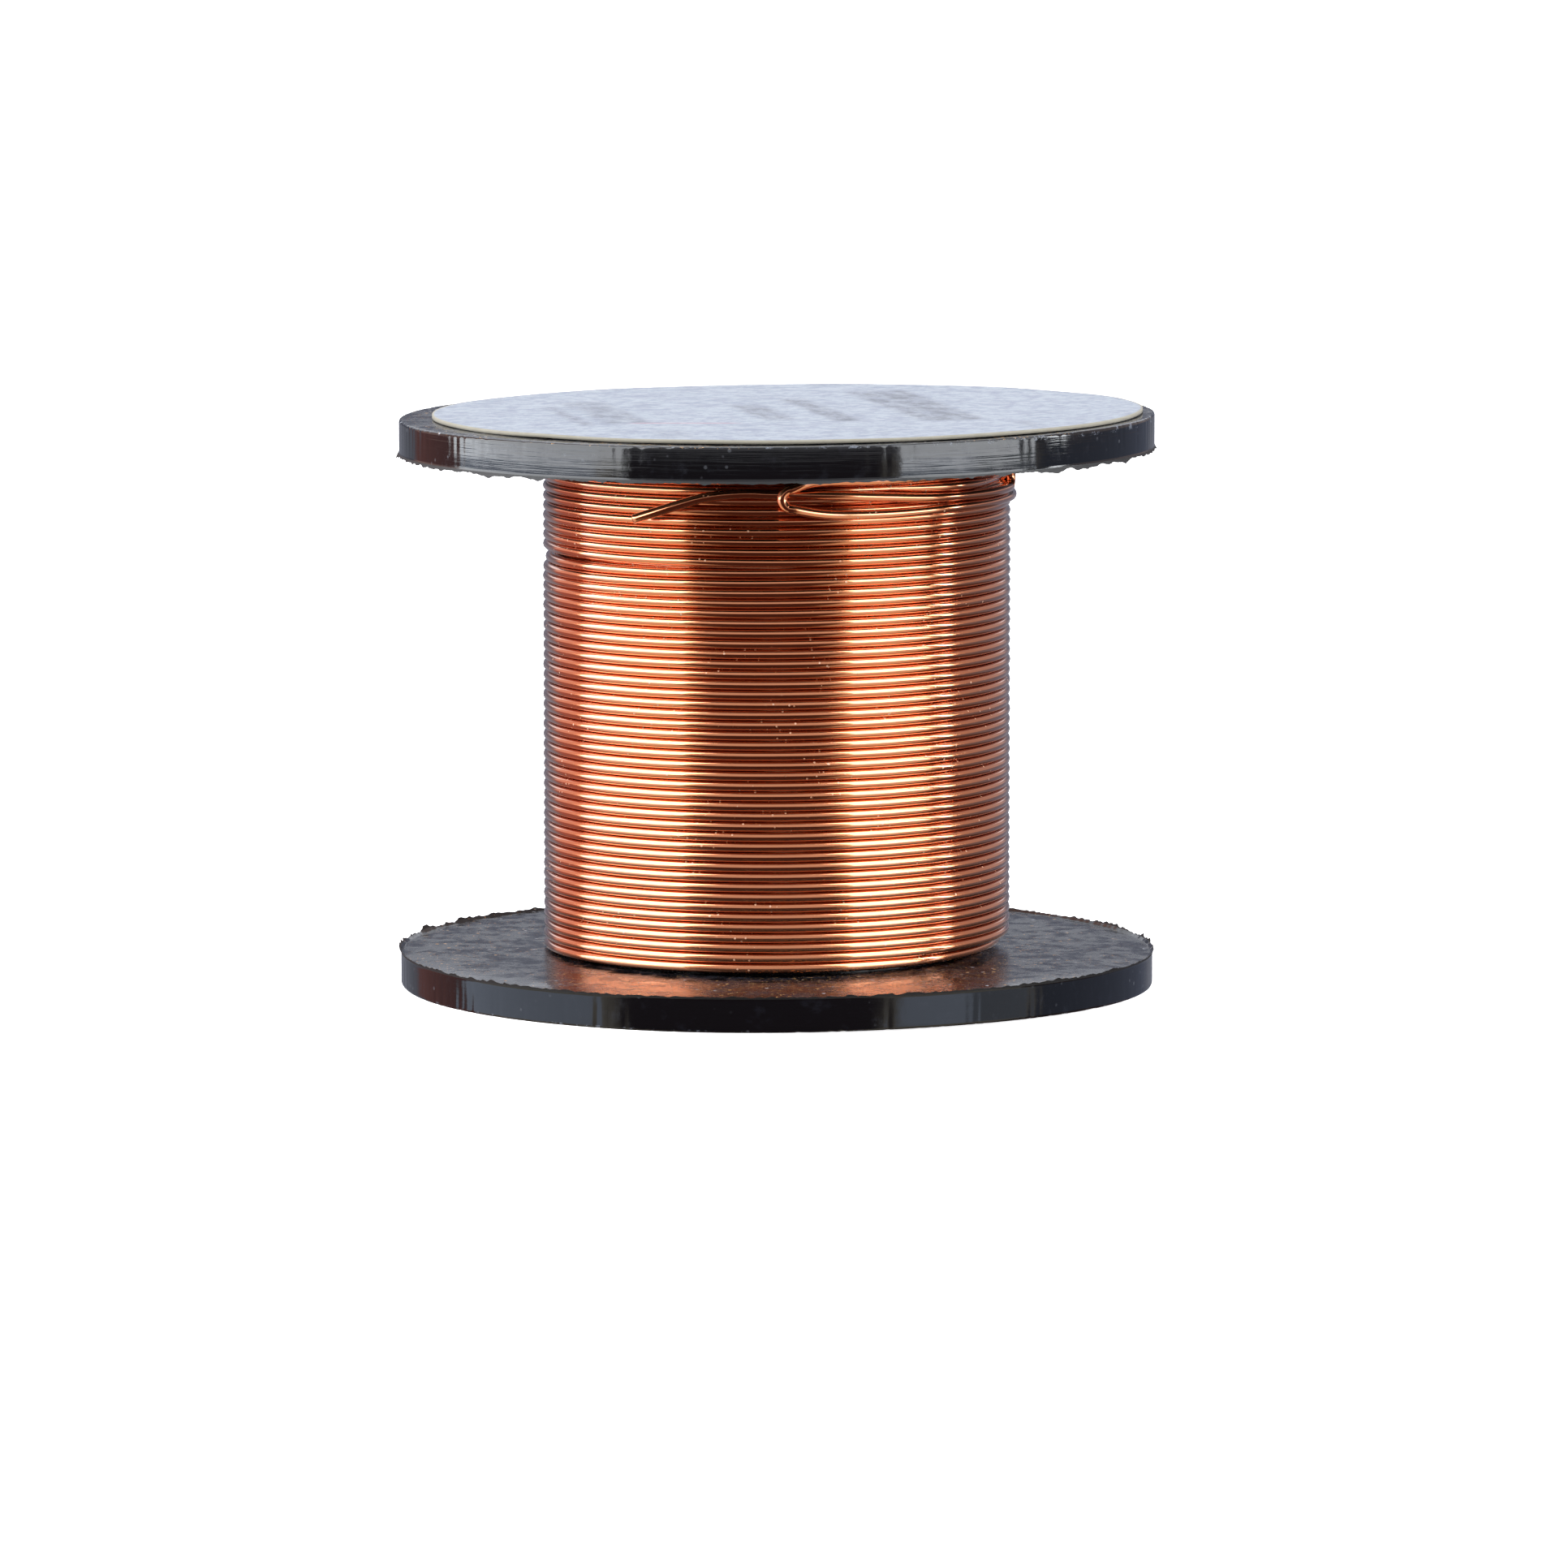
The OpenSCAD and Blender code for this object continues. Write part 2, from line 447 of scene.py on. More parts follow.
def turned(name, outline, segments, nudge, material):
    """Sweeps a closed outline round Z. nudge(r, z, angle) gives each point's own (radius, height)."""
    count = len(outline)
    vertices = []
    for s in range(segments):
        angle = 2 * math.pi * s / segments
        for r, z in outline:
            r, z = nudge(r, z, angle)
            vertices.append((r * math.sin(angle), -r * math.cos(angle), z))
    faces = []
    for s in range(segments):
        t = (s + 1) % segments
        for i in range(count):
            j = (i + 1) % count
            faces.append((s * count + i, s * count + j, t * count + j, t * count + i))
    mesh = bpy.data.meshes.new(name)
    mesh.from_pydata(vertices, [], faces)
    mesh.polygons.foreach_set("use_smooth", [True] * len(faces))
    return new_piece(name, mesh, material)


square = [(0, 0, 1), (9, 0, 1), (9, 9, 1), (0, 9, 1)]
print("points round a square with round corners:", len(fillet(square)))

# %% The flange's outline
def subdivide(outline, longest):
    """Splits the long straight stretches, so that a nudge can bend them."""
    points = []
    for a, b in zip(outline, np.roll(outline, -1, axis=0)):
        parts = max(1, int(np.linalg.norm(b - a) / longest))
        points.extend(a + (b - a) * k / parts for k in range(parts))
    return np.array(points)


PLUG_R = BARREL_R - BARREL_WALL
LONGEST_SPLIT = 0.8 * MM
FIN_ROOT = 0.10 * MM
FIN_TIP = 0.03 * MM


def flange_outline():
    """Half section of a flange that lies on z = 0, counted from the bore's lower edge outwards, with its
    plug ring and its spindle sleeve standing up. The tip of the flash is two points at the rim's corner."""
    corners = [
        (BORE_R, 0, 0.2 * MM),
        (FLANGE_R, 0, 0.16 * MM),
        (FLANGE_R, FLANGE_T - FIN_ROOT, 0),
        (FLANGE_R, FLANGE_T - FIN_TIP, 0),
        (FLANGE_R, FLANGE_T, 0),
        (FLANGE_R - FIN_TIP, FLANGE_T, 0),
        (FLANGE_R - FIN_ROOT, FLANGE_T, 0),
        (FLANGE_R - 2 * FIN_ROOT, FLANGE_T, 0),
        (PLUG_R, FLANGE_T, 0),
        (PLUG_R, RING_TOP, 0.1 * MM),
        (PLUG_R - RING_WALL, RING_TOP, 0.1 * MM),
        (PLUG_R - RING_WALL, FLANGE_T, 0.2 * MM),
        (BORE_R + RING_WALL, FLANGE_T, 0.2 * MM),
        (BORE_R + RING_WALL, RING_TOP, 0.1 * MM),
        (BORE_R, RING_TOP, 0.1 * MM),
    ]
    return subdivide(fillet(corners), LONGEST_SPLIT)


print("points in the flange's outline:", len(flange_outline()))

# %% Flash
# The longer torn flaps: angle from the front towards +X, half width in degrees, height in millimetres
LOWER_FLAPS = [
    (-160, 4, 0.10), (-130, 2, 0.12), (-122, 2.5, 0.17), (-110, 3, 0.26), (-90, 9, 0.13), (-63, 3, 0.08),
    (-48, 2, 0.07), (46, 3, 0.08), (62, 4, 0.09), (100, 6, 0.14), (116, 5, 0.16)]
UPPER_FLAPS = [
    (-140, 6, 0.14), (-90, 8, 0.14), (-61, 4, 0.12), (-46, 4, 0.17), (-38, 2, 0.10), (45, 3, 0.22),
    (53, 3.5, 0.17), (65, 3, 0.10), (78, 4, 0.12), (92, 7, 0.15), (150, 5, 0.12)]


def ragged(angle, seed, scale):
    """Noise round the rim, from 0 to 1, that closes on itself."""
    p = Vector((math.cos(angle) * scale, math.sin(angle) * scale, seed))
    return min(1.0, max(0.0, 0.5 + 0.9 * noise.noise(p)))


def flash_height(angle, seed, flaps):
    """How far the flash stands at an angle: a ragged trace all round, and longer torn flaps in places."""
    teeth = ragged(angle, seed + 7.3, 40.0)
    fine = ragged(angle, seed + 3.1, 110.0)
    height = 0.09 + 0.14 * max(0.0, teeth - 0.3) + 0.06 * fine
    for middle, half_width, flap in flaps:
        away = abs((math.degrees(angle) - middle + 180) % 360 - 180) / half_width
        height += flap * max(0.0, 1 - away ** 2) * (0.45 + 0.55 * teeth)
    return height * MM


print("longest flap of flash, mm:", max(flap for middle, half_width, flap in LOWER_FLAPS + UPPER_FLAPS))

# %% Warp and the finished flanges
FLANGE_SEGMENTS = 960
EDGE_ROLL = 0.12 * MM
ROLL_WIDTH = 2.5 * MM
NICKED_BAND = 0.17 * MM
NICK_DEPTH = 0.05 * MM
# How far the flash stands up and how far it leans out, as parts of its height
FIN_RISE = 0.9
FIN_LEAN = 0.5
SHARP_EDGE = math.radians(32)


def out_on_flange(r):
    """0 at the barrel and 1 at the rim."""
    return max(0.0, (r - BARREL_R) / (FLANGE_R - BARREL_R))


def lower_warp(angle):
    return (0.05 * math.sin(2 * angle + 0.6) + 0.03 * math.sin(3 * angle)) * MM


def upper_warp(angle):
    return (-0.19 * math.sin(angle) + 0.04 * math.cos(2 * angle)) * MM


def make_flange(name, node, material, seed, flaps, warp, flip):
    """A flange with its own flash and warp, upside down for the upper one."""
    def nudge(r, z, angle):
        bend = out_on_flange(r)
        near_rim = max(0.0, (r - FLANGE_R + ROLL_WIDTH) / ROLL_WIDTH)
        if z > FLANGE_T - FIN_TIP / 2 and r > FLANGE_R - 1.5 * FIN_TIP:
            fin = flash_height(angle, seed, flaps)
            z += fin * FIN_RISE
            r += fin * FIN_LEAN
        elif r > FLANGE_R - 2 * FIN_ROOT and z < NICKED_BAND:
            nick = NICK_DEPTH * max(0.0, ragged(angle, seed + 11.0, 55.0) - 0.62)
            r -= nick
            z += nick
        z += bend * warp(angle) - EDGE_ROLL * near_rim ** 2 * (1 if z > FLANGE_T / 2 else 0)
        if flip:
            z = REEL_TOP - z
        return r, z

    piece = turned(name, flange_outline(), FLANGE_SEGMENTS, nudge, material)
    # the sweep's faces point inwards, and turning a flange upside down has already turned them out
    if not flip:
        piece.data.flip_normals()
    piece.data.set_sharp_from_angle(angle=SHARP_EDGE)
    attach(piece, "reel")
    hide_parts(node)
    return piece


lower_flange = make_flange("lower_flange_moulding", "lower_flange", lower_plastic, 1.7, LOWER_FLAPS,
                           lower_warp, False)
upper_flange = make_flange("upper_flange_moulding", "upper_flange", upper_plastic, 5.2, UPPER_FLAPS,
                           upper_warp, True)
for piece in (lower_flange, upper_flange):
    print(piece.name, "triangles:", 2 * len(piece.data.polygons))

# %% [markdown]
# ## The barrel
#
# The barrel hides under the wire. Its CAD tube already has the right shape, so it only needs its
# plastic, for anyone who looks up the spindle hole.

# %% Barrel finish
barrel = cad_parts["barrel"]
barrel.data.materials.clear()
barrel.data.materials.append(lower_plastic)
print("barrel slots:", len(barrel.material_slots))

# %% [markdown]
# ## The label
#
# A disc of paper a fifth of a millimetre thick, stuck down by hand a little to the right. Paper never
# lies quite flat, so its edge lifts by a hair here and there, and it follows the warp of the flange.

# %% Make the label
LABEL_R = (LABEL_HIGH.x - LABEL_LOW.x) / 2
LABEL_T = LABEL_HIGH.z - LABEL_LOW.z
EDGE_LIFT = 0.05 * MM
EDGE_BULGE = 0.01 * MM
GLUE = 0.005 * MM
# The paper curls up from here outwards, as a part of its radius
CURLS_FROM = 0.9


def lie_on_flange(x, y, z):
    """Where a point of the label goes: over the flange's warp, and curled up a little near its edge."""
    place = Vector((x + LABEL_MIDDLE.x, y + LABEL_MIDDLE.y, 0))
    angle = math.atan2(place.x, -place.y)
    near_edge = max(0.0, math.hypot(x, y) / LABEL_R - CURLS_FROM) / (1 - CURLS_FROM)
    curl = EDGE_LIFT * near_edge * (0.8 + noise.noise(place * 160))
    place.z = REEL_TOP + z - out_on_flange(math.hypot(place.x, place.y)) * upper_warp(angle) + curl + GLUE
    return place


def make_label(rings=46, segments=256):
    """A disc of paper, as rings of points from the middle of its top round its edge to its back."""
    radii = [LABEL_R * math.sqrt(k / rings) for k in range(1, rings + 1)]
    profile = [(r, LABEL_T) for r in radii] + [(LABEL_R + EDGE_BULGE, LABEL_T / 2)]
    profile += [(r, 0.0) for r in reversed(radii)]
    vertices = [(0, 0, LABEL_T)]
    for r, z in profile:
        vertices.extend((r * math.cos(2 * math.pi * s / segments),
                         r * math.sin(2 * math.pi * s / segments), z) for s in range(segments))
    vertices.append((0, 0, 0))
    last = len(vertices) - 1
    faces = [(0, 1 + s, 1 + (s + 1) % segments) for s in range(segments)]
    for k in range(len(profile) - 1):
        a = 1 + k * segments
        b = a + segments
        faces.extend((a + s, b + s, b + (s + 1) % segments, a + (s + 1) % segments)
                     for s in range(segments))
    a = 1 + (len(profile) - 1) * segments
    faces.extend((last, a + (s + 1) % segments, a + s) for s in range(segments))
    mesh = bpy.data.meshes.new("label")
    mesh.from_pydata([lie_on_flange(*point) for point in vertices], [], faces)
    mesh.polygons.foreach_set("use_smooth", [True] * len(faces))
    return new_piece("label_disc", mesh, paper)


label = make_label()
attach(label, "reel")
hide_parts("paper_label")
print("label diameter, mm:", round(2 * LABEL_R / MM, 2))

# %% [markdown]
# ## The wound layers
#
# A layer of wire is one long helix that climbs by its own thickness each turn, so a rule makes it:
# that is what Geometry Nodes are for. The tree lays out a line of points, moves each to its place on
# the helix, and sweeps a circle along it. Small slow wobbles stop the turns from looking machined. The
# outer layer comes up out of the layer below, its first turn sinks once more at the right, and higher up
# one turn has slipped at the left and left a gap.

# %% The helix as a node tree
# Where the first turn has climbed out of the layer below and where it sinks again, in turns
CLIMBED = 0.05
SINKS_AGAIN = 0.57
# The side on which the slipped turn leaves its gap, in degrees to the left of the front
GAP_SIDE = 80


def helix_tree():
    tree = bpy.data.node_groups.new("wire layer", "GeometryNodeTree")
    sizes = [("Points", "NodeSocketInt"), ("Sides", "NodeSocketInt"), ("Lay Radius", "NodeSocketFloat"),
             ("Wire Diameter", "NodeSocketFloat"), ("Floor", "NodeSocketFloat"),
             ("Rises", "NodeSocketFloat"), ("Start Angle", "NodeSocketFloat"),
             ("Hand", "NodeSocketFloat"), ("Wobble", "NodeSocketFloat"), ("Seed", "NodeSocketFloat"),
             ("Start Dip", "NodeSocketFloat"), ("Slip Turn", "NodeSocketFloat"),
             ("Slip Depth", "NodeSocketFloat"), ("Slip Gap", "NodeSocketFloat"),
             ("Material", "NodeSocketMaterial")]
    for name, kind in sizes:
        tree.interface.new_socket(name, in_out="INPUT", socket_type=kind)
    tree.interface.new_socket("Geometry", in_out="OUTPUT", socket_type="NodeSocketGeometry")
    graph = Graph(tree)
    inputs = graph.add("NodeGroupInput")
    size = {name: inputs.other(name) for name, kind in sizes}

    line = graph.add("GeometryNodeMeshLine", None, {"Count": size["Points"]})
    index = graph.add("GeometryNodeInputIndex")
    turn = index / (size["Points"] - 1) * size["Rises"]
    angle = size["Start Angle"] + size["Hand"] * turn * (2 * math.pi)

    slow = graph.add("ShaderNodeTexNoise", {"noise_dimensions": "1D"},
                     {"W": turn * 0.9 + size["Seed"], "Scale": 1.0, "Detail": 2.0})
    quick = graph.add("ShaderNodeTexNoise", {"noise_dimensions": "1D"},
                      {"W": turn * 5.0 + size["Seed"] + 40.0, "Scale": 1.0, "Detail": 1.0})
    away = (slow - 0.5) * size["Wobble"] + (quick - 0.5) * size["Wobble"] * 0.4
    slip = (turn + 0.5).bell(size["Slip Turn"], 5.0) * size["Slip Depth"]
    dip = (1 - turn.above(CLIMBED, 0.04) + turn.bell(SINKS_AGAIN, 9.0)) * size["Start Dip"]
    radius = size["Lay Radius"] + away - slip - dip
    apart = turn.above(size["Slip Turn"], 0.3) - 0.5
    apart = apart * turn.bell(size["Slip Turn"], 0.35) * size["Slip Gap"]
    at_side = (angle + math.radians(GAP_SIDE)).math("COSINE").math("MAXIMUM", 0.0)
    height = size["Floor"] + size["Wire Diameter"] * (turn + 0.5) + (quick - 0.5) * size["Wobble"] * 0.5
    height = height + apart * at_side

    place = graph.add("ShaderNodeCombineXYZ", None,
                      {0: radius * angle.math("SINE"), 1: radius * angle.math("COSINE") * -1.0, 2: height})
    moved = graph.add("GeometryNodeSetPosition", None, {"Geometry": line, "Position": place})
    curve = graph.add("GeometryNodeMeshToCurve", None, {"Mesh": moved})
    upright = graph.add("GeometryNodeSetCurveNormal", {"mode": "Z_UP"}, {"Curve": curve})
    circle = graph.add("GeometryNodeCurvePrimitiveCircle", None,
                       {"Resolution": size["Sides"], "Radius": size["Wire Diameter"] * DRAWN_RADIUS})
    tube = graph.add("GeometryNodeCurveToMesh", None,
                     {"Curve": upright, "Profile Curve": circle, "Fill Caps": True})
    smooth = graph.add("GeometryNodeSetShadeSmooth", None, {"Geometry": tube})
    real = graph.add("GeometryNodeRealizeInstances", None, {"Geometry": smooth})
    done = graph.add("GeometryNodeSetMaterial", None, {"Geometry": real, "Material": size["Material"]})
    graph.add("NodeGroupOutput", None, {"Geometry": done})
    return tree


winding_tree = helix_tree()
print("nodes in the helix tree:", len(winding_tree.nodes))

# %% Wind the four layers
def run_tree(name, tree, values):
    """Runs a node tree on an empty mesh and keeps what it makes as a plain mesh object."""
    holder = bpy.data.objects.new("holder", bpy.data.meshes.new("holder"))
    bpy.context.collection.objects.link(holder)
    modifier = holder.modifiers.new("tree", "NODES")
    modifier.node_group = tree
    for item in tree.interface.items_tree:
        if item.in_out == "INPUT" and item.name in values:
            modifier[item.identifier] = values[item.name]
    evaluated = holder.evaluated_get(bpy.context.evaluated_depsgraph_get())
    mesh = bpy.data.meshes.new_from_object(evaluated)
    holder.modifiers.clear()
    bpy.data.objects.remove(holder)
    mesh.name = name
    piece = bpy.data.objects.new(name, mesh)
    bpy.context.collection.objects.link(piece)
    return piece


LAYERS = 4
RISES = TURNS - 1.0
# Where the outer layer starts, in degrees from the front, and which of its turns has slipped. A slip
# before the first turn is no slip at all, which is what the inner layers have.
OUTER_START = -125.0
SLIPPED_TURN = 39.6
NO_SLIP = -9.0

for layer in range(1, LAYERS + 1):
    outer = layer == LAYERS
    points_in_a_turn = 96 if outer else 40
    values = {
        "Points": int(points_in_a_turn * RISES) + 1,
        "Sides": 12 if outer else 8,
        "Lay Radius": BARREL_R + WIRE_D / 2 + (layer - 1) * NEST_STEP,
        "Wire Diameter": WIRE_D,
        "Floor": FLOOR_OF_WINDING,
        "Rises": RISES,
        "Start Angle": math.radians(OUTER_START if outer else 90.0 * layer),
        "Hand": 1.0 if (LAYERS - layer) % 2 == 0 else -1.0,
        "Wobble": 0.035 * MM if outer else 0.01 * MM,
        "Seed": 3.0 + 11.0 * layer,
        "Start Dip": 0.5 * MM if outer else 0.0,
        "Slip Turn": SLIPPED_TURN if outer else NO_SLIP,
        "Slip Depth": 0.14 * MM,
        "Slip Gap": 0.16 * MM if outer else 0.0,
        "Material": copper,
    }
    piece = run_tree(f"wound_layer_{layer}", winding_tree, values)
    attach(piece, "reel")
    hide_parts(f"wire_layer_{layer}")
    turn_length = 2 * math.pi * values["Lay Radius"]
    print(piece.name, "faces:", len(piece.data.polygons), " wire, m:", round(turn_length * TURNS, 2))

# %% [markdown]
# ## The locked end
#
# The last of the wire is folded back and forth on top of the finished layers, round the right-hand side.
# At the front the fold is a tight bight, and the wire's end passes under it and springs away. The route
# follows the CAD model's, as listed places: degrees round the reel from the front, wire diameters
# below the upper flange, and how many wires above the finished layers. The CAD wire keeps clear of all
# that it crosses. This one lies a little into the winding's grooves. It comes up out of the winding under
# the second fold, and at the right-hand side it sinks again where that fold turns back over it.

# %% The route of the folds
ROW_A, ROW_B, ROW_C, ROW_D = 1.15, 2.2, 3.25, 4.3
# How far apart the centres of the lying wire and of the outer turns are, in wire diameters
LIE_STEP = 0.9
LIE_R = WINDING_R - WIRE_D / 2 + LIE_STEP * WIRE_D
U_HALF = (ROW_C - ROW_A) / 2
U_HALF_DEG = math.degrees(U_HALF * WIRE_D / LIE_R)
# Degrees from the front to the bends behind the reel, at its right-hand side and at the front, and to
# the left to where the free end leaves the winding
BACK_TURN, RIGHT_TURN, FRONT_TURN = 186, 80, 1.3
BEND_ANGLE = 3.0


def u_bend(angle, depth_from, depth_to, side, level):
    """A U-bend in the wire whose belly is at an angle."""
    middle = (depth_from + depth_to) / 2
    half = (depth_to - depth_from) / 2
    turns = [math.radians(t) for t in range(-90, 91, 30)]
    return [(angle + side * U_HALF_DEG * (math.cos(t) - 1), middle + half * math.sin(t), level)
            for t in turns]


def run(start, end, depth, level=0):
    """A plain run round the winding at one depth and level."""
    step = 10 if end > start else -10
    return [(angle, depth, level) for angle in range(start, end + step // 10, step)]


# Up out of the winding, then down again under the bend of the second fold
comes_up = [(16, 2.0, -1.7), (22, 2.02, -1.3), (29, 2.06, -0.85), (37, 2.12, -0.35), (45, 2.18, -0.05),
            (52, ROW_B, 0), (60, ROW_B, -0.4), (70, ROW_B, -0.95), (80, ROW_B, -0.95), (90, ROW_B, -0.4)]
first_fold = (run(100, 172, ROW_B) + u_bend(BACK_TURN, ROW_B, ROW_D, 1, 0)
              + run(172, 122, ROW_D) + run(112, 72, ROW_D, -0.3) + [(62, ROW_D, -0.15), (52, ROW_D, 0)]
              + [(43, 4.35, 0), (34, 4.45, 0), (25, 4.5, 0), (15, 4.45, 0), (9, 4.2, 0.45)])
bight = u_bend(FRONT_TURN, 3.75, 1.75, -1, 1) + [(6.5, 1.3, 0.9), (10, 1.15, 0.3), (16, 1.15, 0)]
second_fold = ([(25, 1.2, 0)] + run(35, 65, ROW_A) + u_bend(RIGHT_TURN, ROW_A, ROW_C, 1, -0.15)
               + run(65, 50, ROW_C) + [(39, 3.15, 0), (30, 2.92, 0), (25, 2.8, 0)])
tie_off_route = comes_up + first_fold + bight + second_fold

# On from there, under the bight and off the winding
tail_route = [(18, 2.63, 0), (12, 2.5, 0), (4, 2.4, 0), (0, 2.38, 0), (-BEND_ANGLE, 2.36, 0),
              (-6, 2.3, 0.05), (-9.5, 2.35, 0.15), (-13.5, 2.5, 0.3), (-18, 2.85, 0.5), (-23, 3.5, 0.75),
              (-29, 4.35, 1.05), (-33.4, 4.98, 1.3)]
print("places on the route:", len(tie_off_route) + len(tail_route))

# %% The route as a smooth curve
ROUTE_STEPS = 5


def place_on_winding(angle, depth, level):
    r = LIE_R + level * WIRE_D
    a = math.radians(angle)
    return Vector((r * math.sin(a), -r * math.cos(a), TOP_OF_WINDING - depth * WIRE_D))


def smooth_route(route, steps):
    """A Catmull-Rom curve through the route's places."""
    points = [np.array(p, float) for p in route]
    last = len(points) - 1
    out = []
    for i in range(last):
        a, b, c, d = (points[max(i - 1, 0)], points[i], points[i + 1], points[min(i + 2, last)])
        for s in range(steps):
            t = s / steps
            out.append(0.5 * (2 * b + (c - a) * t + (2 * a - 5 * b + 4 * c - d) * t * t
                              + (3 * b - a - 3 * c + d) * t ** 3))
    out.append(points[last])
    return [place_on_winding(*p) for p in out]


def path_length(path):
    return sum((b - a).length for a, b in zip(path, path[1:]))


wire_path = smooth_route(tie_off_route + tail_route, ROUTE_STEPS)
JOIN = (len(tie_off_route) - 1) * ROUTE_STEPS
print("folds, mm:", round(path_length(wire_path[:JOIN + 1]) / MM, 1),
      " end, mm:", round(path_length(wire_path[JOIN:]) / MM, 1))

# %% Sweep the wire
HAIR = 0.003 * MM
WIRE_SIDES = 16


def swept_wire(name, path, first, last, cut_end=False):
    """A round wire along part of a path, from point first to point last. The rings are squared to the
    whole path, so that two lengths of one wire meet without a step. One more ring, a hair's breadth beyond
    each plain end, keeps the flat cap from tilting the shading of the last one."""
    sides = WIRE_SIDES
    ring = [2 * math.pi * k / sides for k in range(sides)]
    rings = []
    for i in range(first, last + 1):
        p = path[i]
        along = (path[min(i + 1, len(path) - 1)] - path[max(i - 1, 0)]).normalized()
        out = Vector((p.x, p.y, 0)).normalized()
        across = along.cross(out).normalized()
        up = across.cross(along)
        if i == first:
            rings.append((p - along * HAIR, up, across))
        rings.append((p, up, across))
    if cut_end:
        # side cutters pinch the end to a blunt wedge
        rings.append((p + along * 0.10 * MM, up * 0.75, across * 0.92))
        rings.append((p + along * 0.17 * MM, up * 0.28, across * 0.80))
    else:
        rings.append((p + along * HAIR, up, across))
    vertices = [tuple(p + WIRE_D * DRAWN_RADIUS * (math.cos(t) * up + math.sin(t) * across))
                for p, up, across in rings for t in ring]
    faces = []
    for i in range(len(rings) - 1):
        for k in range(sides):
            n = (k + 1) % sides
            a, b = i * sides, (i + 1) * sides
            faces.append((a + k, a + n, b + n, b + k))
    faces.append(tuple(reversed(range(sides))))
    faces.append(tuple((len(rings) - 1) * sides + k for k in range(sides)))
    mesh = bpy.data.meshes.new(name)
    mesh.from_pydata(vertices, [], faces)
    mesh.polygons.foreach_set("use_smooth", [len(f) == 4 for f in faces])
    return new_piece(name, mesh, copper)


folds = swept_wire("folded_wire", wire_path, 0, JOIN)
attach(folds, "reel")
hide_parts("tie_off_wire")

tail = swept_wire("free_wire_end", wire_path, JOIN, len(wire_path) - 1, cut_end=True)
place_on_winding(-1.0, 2.36, 0)
place_on_winding(-11.0, 2.36, 0)
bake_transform(tail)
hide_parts("wire_tail")
print("folds, faces:", len(folds.data.polygons), " end, faces:", len(tail.data.polygons))

# %% [markdown]
# ## Floor and light
#
# A plain white floor, and sheets of soft light: a wide one at each side, a thin bright one beyond the
# right-hand one, and a weak one overhead. Each wire is a small round mirror, so an upright sheet shows in
# every turn as one short bright line, and the gap between the sheets is what leaves the winding's middle
# dark. The room supplies the rest. The lower half of each turn mirrors a pale bench under the side lights
# and a red-brown dimness elsewhere. The rims mirror a window's glow that comes in level from the sides,
# and the flat faces mirror a bright far wall.

# %% Floor
FLOOR_HALF = 3.0
FLOOR_DROP = 0.02 * MM


def make_floor():
    """A white floor that shows to the camera alone, so it throws no light of its own on the reel."""
    corners = [(x * FLOOR_HALF, y * FLOOR_HALF, 0) for x, y in [(-1, -1), (1, -1), (1, 1), (-1, 1)]]
    mesh = bpy.data.meshes.new("floor")
    mesh.from_pydata(corners, [], [(0, 1, 2, 3)])
    material, graph, shader, place = new_material("white floor", Roughness=0.9)
    shader.inputs["Base Color"].default_value = (0.93, 0.93, 0.93, 1)
    shader.inputs["Emission Color"].default_value = (1, 1, 1, 1)
    shader.inputs["Emission Strength"].default_value = 0.85
    floor = new_piece("floor", mesh, material)
    floor.location.z = -FLOOR_DROP
    floor.visible_glossy = False
    floor.visible_diffuse = False
    floor.visible_shadow = False


make_floor()
print("floor, m across:", 2 * FLOOR_HALF)

# %% Lights
COOL_WHITE = (0.93, 0.965, 1.0)
REEL_MIDDLE = Vector((0, 0, 0.015))


def area_light(name, place, turn, width, height, brightness):
    """A sheet of light. Its brightness is what a mirror sees in it, however big it is."""
    data = bpy.data.lights.new(name, "AREA")
    data.shape = "RECTANGLE"
    data.size = width
    data.size_y = height
    data.energy = brightness * math.pi * width * height
    data.color = COOL_WHITE
    light = bpy.data.objects.new(name, data)
    bpy.context.collection.objects.link(light)
    light.location = place
    light.rotation_euler = turn
    light.visible_camera = False


def soft_light(name, start, end, low, high, distance, brightness):
    """An upright sheet of light. Seen from the reel it fills the azimuths from start to end, counted from
    the front with + to the right, and the heights from low to high, all in degrees."""
    width = 2 * distance * math.tan(math.radians(end - start) / 2)
    bottom, top = (distance * math.tan(math.radians(h)) for h in (low, high))
    a = math.radians(start + end) / 2
    place = REEL_MIDDLE + Vector((distance * math.sin(a), -distance * math.cos(a), (top + bottom) / 2))
    area_light(name, place, (math.pi / 2, 0, a), width, top - bottom, brightness)


soft_light("left soft light", -112, -46, -1.5, 64, 0.45, 5.4)
soft_light("right soft light", 37, 80, -1.5, 64, 0.50, 5.4)
soft_light("right strip light", 90, 96, 3, 64, 0.50, 11.0)
area_light("overhead light", (0, -0.1, 0.60), (0, 0, 0), 0.56, 0.34, 1.2)

# %% The room
# The room's light in each direction: its walls and windows above the reel's level, the glow just below
# that level, and what is low down
CEILING = (0.10, 0.10, 0.11, 1)
FRONT_WALL = (0.66, 0.64, 0.66, 1)
DIM_LOW = (0.06, 0.026, 0.022, 1)
BENCH = (0.85, 0.76, 0.62, 1)
WINDOW_GLOW = (1.15, 1.30, 1.60, 1)
SILL_GLOW = (0.55, 0.60, 0.70, 1)
SIDE_WALL = (0.45, 0.38, 0.38, 1)
SIDE_GLOW = (0.17, 0.19, 0.26, 1)
SIDE_LOW = (0.10, 0.06, 0.05, 1)
BACK_WALL = (0.16, 0.17, 0.22, 1)
BACK_WINDOW = (1.1, 1.14, 1.24, 1)
BACK_GLOW = (0.24, 0.25, 0.30, 1)
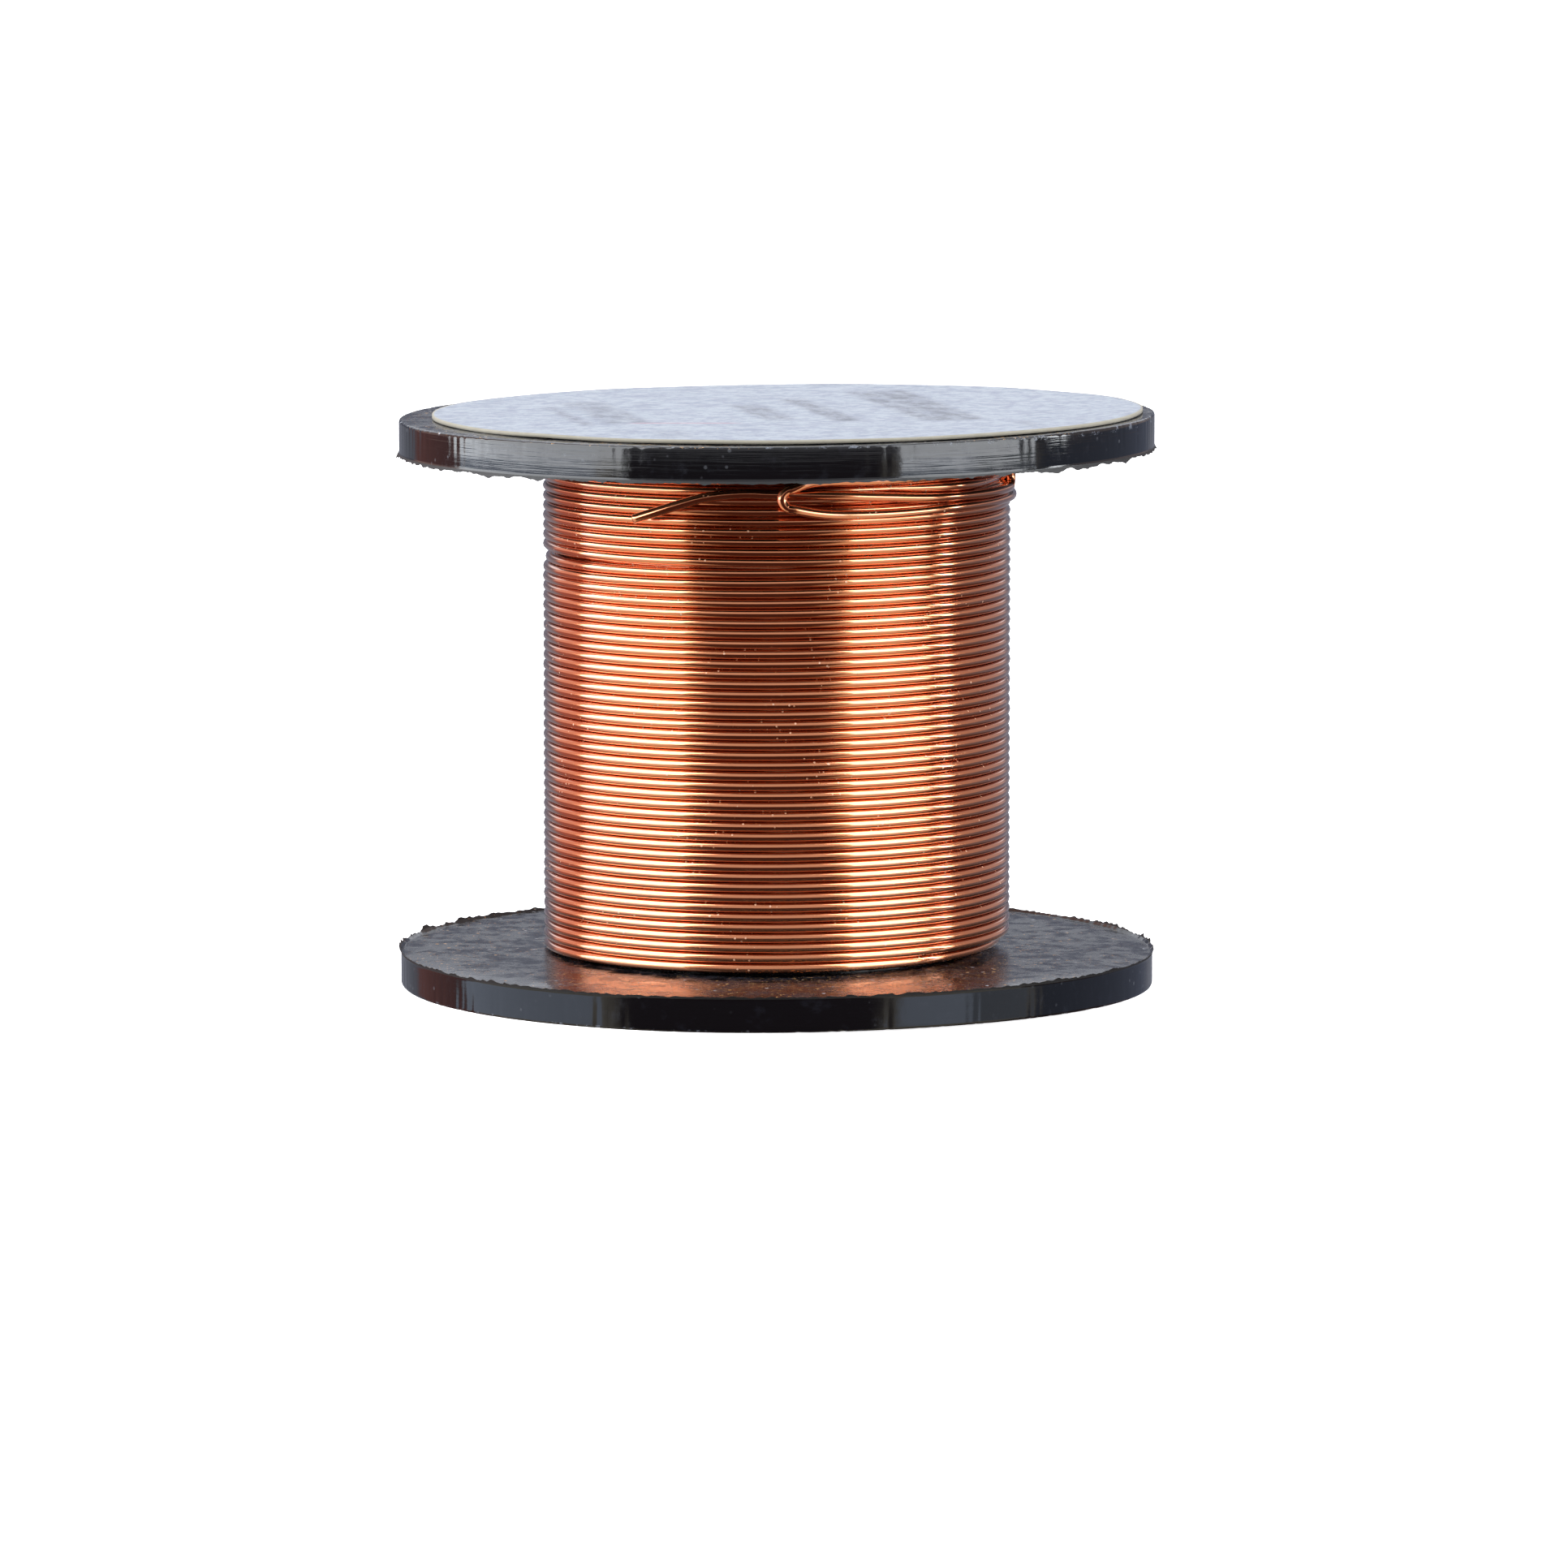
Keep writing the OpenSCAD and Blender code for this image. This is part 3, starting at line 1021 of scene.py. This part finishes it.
BACK_LOW = (0.12, 0.08, 0.07, 1)
CUPBOARD = (0.85, 0.52, 0.45, 1)
CUPBOARD_LOW = (0.38, 0.16, 0.14, 1)
WHITE = (1, 1, 1, 1)


def make_room():
    """The room that the reel mirrors: turn is the azimuth in degrees from the front, + to the right, and
    rise is the sine of the height. The camera itself sees plain white all round."""
    world = bpy.data.worlds.new("room")
    bpy.context.scene.world = world
    world.use_nodes = True
    world.node_tree.nodes.clear()
    graph = Graph(world.node_tree)
    direction = graph.add("ShaderNodeTexCoord", out="Generated")
    axes = graph.add("ShaderNodeSeparateXYZ", None, {0: direction})
    turn = axes.math("ARCTAN2", axes.other("Y") * -1.0) * (180 / math.pi)
    rise = axes.other("Z")
    low = 1 - rise.above(0.0, 0.02)
    level = low * rise.above(-0.35, 0.06)
    wall = turn.between(-50, 35, 4) * rise.between(0.05, 0.86, 0.04)
    room = graph.mix(wall, CEILING, FRONT_WALL)
    room = graph.mix(low, room, DIM_LOW)
    room = graph.mix(low * turn.between(-111, -50, 5), room, BENCH)
    room = graph.mix(low * turn.between(34, 88, 5), room, BENCH)
    room = graph.mix(level * turn.between(-111.5, -56, 1.5), room, WINDOW_GLOW)
    room = graph.mix(level * turn.between(38, 84, 1.5), room, SILL_GLOW)
    room = graph.mix(level * turn.between(38, 62, 1.5), room, WINDOW_GLOW)
    side = graph.mix(low, SIDE_WALL, SIDE_LOW)
    side = graph.mix(level, side, SIDE_GLOW)
    back = graph.mix(rise.above(0.21, 0.05), BACK_WALL, BACK_WINDOW)
    back = graph.mix(low, back, BACK_LOW)
    back = graph.mix(level, back, BACK_GLOW)
    room = graph.mix((turn + low * 14.0).above(100, 2), room, side)
    room = graph.mix(turn.above(156, 6), room, back)
    cupboard = graph.mix(low, CUPBOARD, CUPBOARD_LOW)
    room = graph.mix(1 - turn.above(-113, 1.5), room, cupboard)
    room = graph.mix(1 - turn.above(-143, 3), room, back)
    seen = graph.add("ShaderNodeLightPath", out="Is Camera Ray")
    colour = graph.mix(seen, room, WHITE)
    background = graph.add("ShaderNodeBackground", None, {"Color": colour, "Strength": 1.0})
    graph.add("ShaderNodeOutputWorld", None, {"Surface": background})


make_room()
bpy.context.scene.view_settings.view_transform = "Standard"
print("nodes in the room:", len(bpy.context.scene.world.node_tree.nodes))
